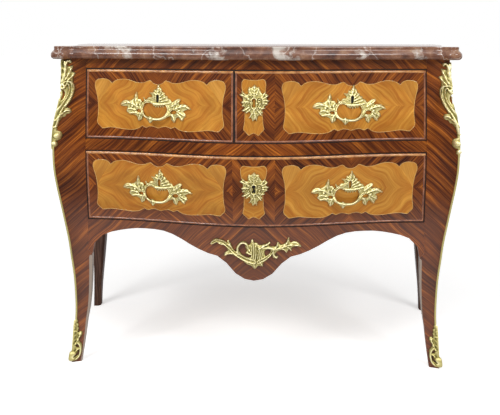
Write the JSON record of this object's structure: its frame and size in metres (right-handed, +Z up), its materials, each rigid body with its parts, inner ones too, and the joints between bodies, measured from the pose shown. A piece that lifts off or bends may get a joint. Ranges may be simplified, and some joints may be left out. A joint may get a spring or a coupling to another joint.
{
  "type": "commode chest",
  "caption": "Serpentine, swelling chest of drawers on cabriole legs, with a moulded marble top, sliding drawers with locks, and pierced gilt mounts.",
  "frame": {"origin": "on the floor, under the centre of the bounding box", "axes": "+Z up, the drawer fronts face -Y, +X to the right of a person who faces the chest"},
  "size_m": [1.12, 0.577, 0.87],
  "materials": {
    "veneer": "polished quarter-cut veneer, mid brown",
    "dark_veneer": "stained wood, waxed",
    "panel_veneer": "polished golden veneer in dark cross-banding",
    "oak": "planed secondary wood, unfinished",
    "marble": "polished reddish marble with pale veins",
    "gilt_bronze": "cast, chased and gilt",
    "iron": "dark filed iron"
  },
  "bodies": {
    "carcass": {"marble_top": "marble", "right_front_leg": "veneer", "left_front_leg": "veneer", "right_rear_leg": "dark_veneer", "left_rear_leg": "dark_veneer", "right_side_panel": "veneer", "left_side_panel": "veneer", "back_bottom_rail": "oak", "back_top_rail": "oak", "back_muntin": "oak", "right_back_panel": "oak", "left_back_panel": "oak", "top_rail": "veneer", "middle_rail": "veneer", "front_apron": "veneer", "sub_top": "oak", "dust_board": "oak", "bottom_board": "oak", "right_upper_runner": "oak", "left_upper_runner": "oak", "right_lower_runner": "oak", "left_lower_runner": "oak", "centre_runner": "oak", "drawer_divider": "oak", "apron_mount": "gilt_bronze", "right_corner_chute": "gilt_bronze", "left_corner_chute": "gilt_bronze", "right_sabot": "gilt_bronze", "left_sabot": "gilt_bronze", "right_corner_bead": "gilt_bronze", "left_corner_bead": "gilt_bronze"},
    "upper_left_drawer": {"upper_left_drawer_front": "panel_veneer", "upper_left_drawer_left_side": "oak", "upper_left_drawer_right_side": "oak", "upper_left_drawer_back": "oak", "upper_left_drawer_bottom": "oak", "upper_left_drawer_lock_case": "iron", "upper_left_handle": "gilt_bronze"},
    "upper_right_drawer": {"upper_right_drawer_front": "panel_veneer", "upper_right_drawer_left_side": "oak", "upper_right_drawer_right_side": "oak", "upper_right_drawer_back": "oak", "upper_right_drawer_bottom": "oak", "upper_right_drawer_lock_case": "iron", "upper_right_handle": "gilt_bronze", "upper_escutcheon": "gilt_bronze"},
    "lower_drawer": {"lower_drawer_front": "panel_veneer", "lower_drawer_left_side": "oak", "lower_drawer_right_side": "oak", "lower_drawer_back": "oak", "lower_drawer_bottom": "oak", "lower_drawer_lock_case": "iron", "lower_left_handle": "gilt_bronze", "lower_right_handle": "gilt_bronze", "lower_escutcheon": "gilt_bronze"},
    "upper_left_bolt": {"upper_left_drawer_lock_bolt": "iron"},
    "upper_right_bolt": {"upper_right_drawer_lock_bolt": "iron"},
    "lower_bolt": {"lower_drawer_lock_bolt": "iron"}
  },
  "joints": [
    {"name": "upper_left_drawer_slide", "type": "slide", "parent": "carcass", "child": "upper_left_drawer", "axis": [0, -1, 0], "range_m": [0, 0.3]},
    {"name": "upper_right_drawer_slide", "type": "slide", "parent": "carcass", "child": "upper_right_drawer", "axis": [0, -1, 0], "range_m": [0, 0.3]},
    {"name": "lower_drawer_slide", "type": "slide", "parent": "carcass", "child": "lower_drawer", "axis": [0, -1, 0], "range_m": [0, 0.3]},
    {"name": "upper_left_bolt_slide", "type": "slide", "parent": "upper_left_drawer", "child": "upper_left_bolt", "axis": [0, 0, 1], "range_m": [0, 0.009]},
    {"name": "upper_right_bolt_slide", "type": "slide", "parent": "upper_right_drawer", "child": "upper_right_bolt", "axis": [0, 0, 1], "range_m": [0, 0.009]},
    {"name": "lower_bolt_slide", "type": "slide", "parent": "lower_drawer", "child": "lower_bolt", "axis": [0, 0, 1], "range_m": [0, 0.009]}
  ]
}
